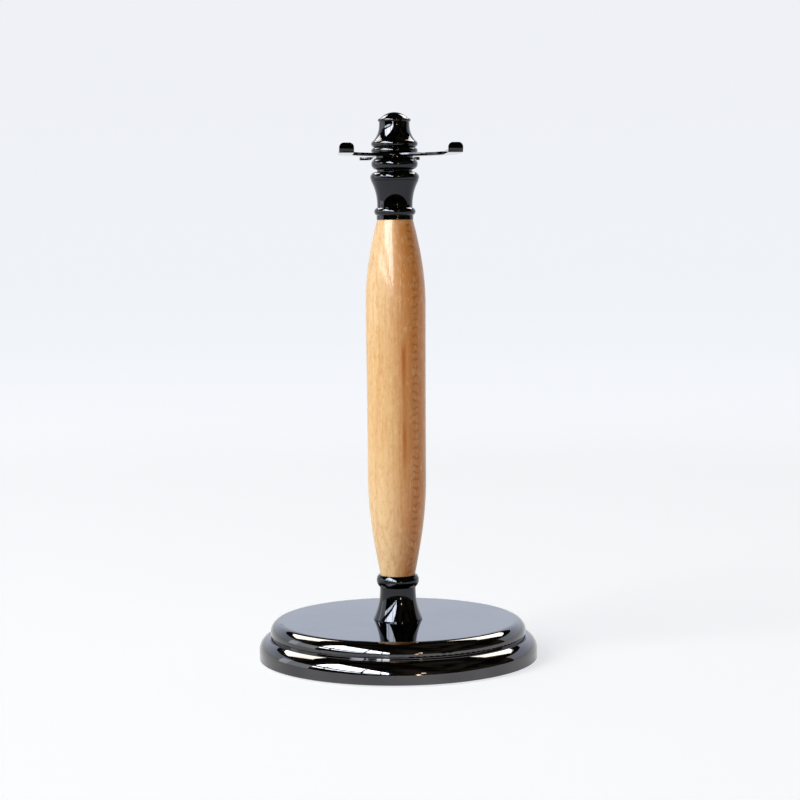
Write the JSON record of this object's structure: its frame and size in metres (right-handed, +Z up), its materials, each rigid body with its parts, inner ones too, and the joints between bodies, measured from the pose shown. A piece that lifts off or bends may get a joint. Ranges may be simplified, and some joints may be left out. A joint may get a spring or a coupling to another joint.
{
  "type": "razor stand",
  "caption": "Free-standing shaving stand: round weighted base, turned wooden post between dark polished couplers, and a flat double fork for a brush and a razor under a screwed finial.",
  "frame": {"origin": "centre of the underside of the base pad, on the surface the stand rests on", "axes": "+Z up along the post; -Y is the side the brush fork opens towards; +X to the right seen from that side"},
  "size_m": [0.089, 0.089, 0.1735],
  "materials": {
    "black_chrome": "mirror-polished black chrome plate",
    "maple": "clear gloss lacquer over turned maple",
    "brass": "drawn tube, scuffed for glue",
    "zinc_steel": "bright zinc plate",
    "cast_iron": "rough casting",
    "foam_rubber": "matt closed-cell foam"
  },
  "bodies": {
    "stand": {"base_disc": "black_chrome", "ballast_ring": "cast_iron", "base_pad": "foam_rubber", "base_screw": "zinc_steel", "lock_washer": "zinc_steel", "flat_washer": "zinc_steel", "lower_coupler": "black_chrome", "brass_tube": "brass", "post": "maple", "upper_coupler": "black_chrome", "seat_ring": "black_chrome", "top_stud": "zinc_steel"},
    "fork": {"fork_plate": "black_chrome"},
    "ring": {"clamp_ring": "black_chrome"},
    "finial": {"finial": "black_chrome"}
  },
  "joints": [
    {"name": "fork_swivel", "type": "hinge", "parent": "stand", "child": "fork", "pos_m": [0, 0, 0.15995], "axis": [0, 0, 1], "continuous": true},
    {"name": "ring_lift", "type": "slide", "parent": "stand", "child": "ring", "axis": [0, 0, 1], "range_m": [0, 0.0056]},
    {"name": "finial_turn", "type": "hinge", "parent": "ring", "child": "finial", "pos_m": [0, 0, 0.1624], "axis": [0, 0, 1], "range_deg": [0, 2520]}
  ],
  "couplings": [
    {"joint": "finial_turn", "follows": "ring_lift", "rad_per_m": 7854}
  ]
}
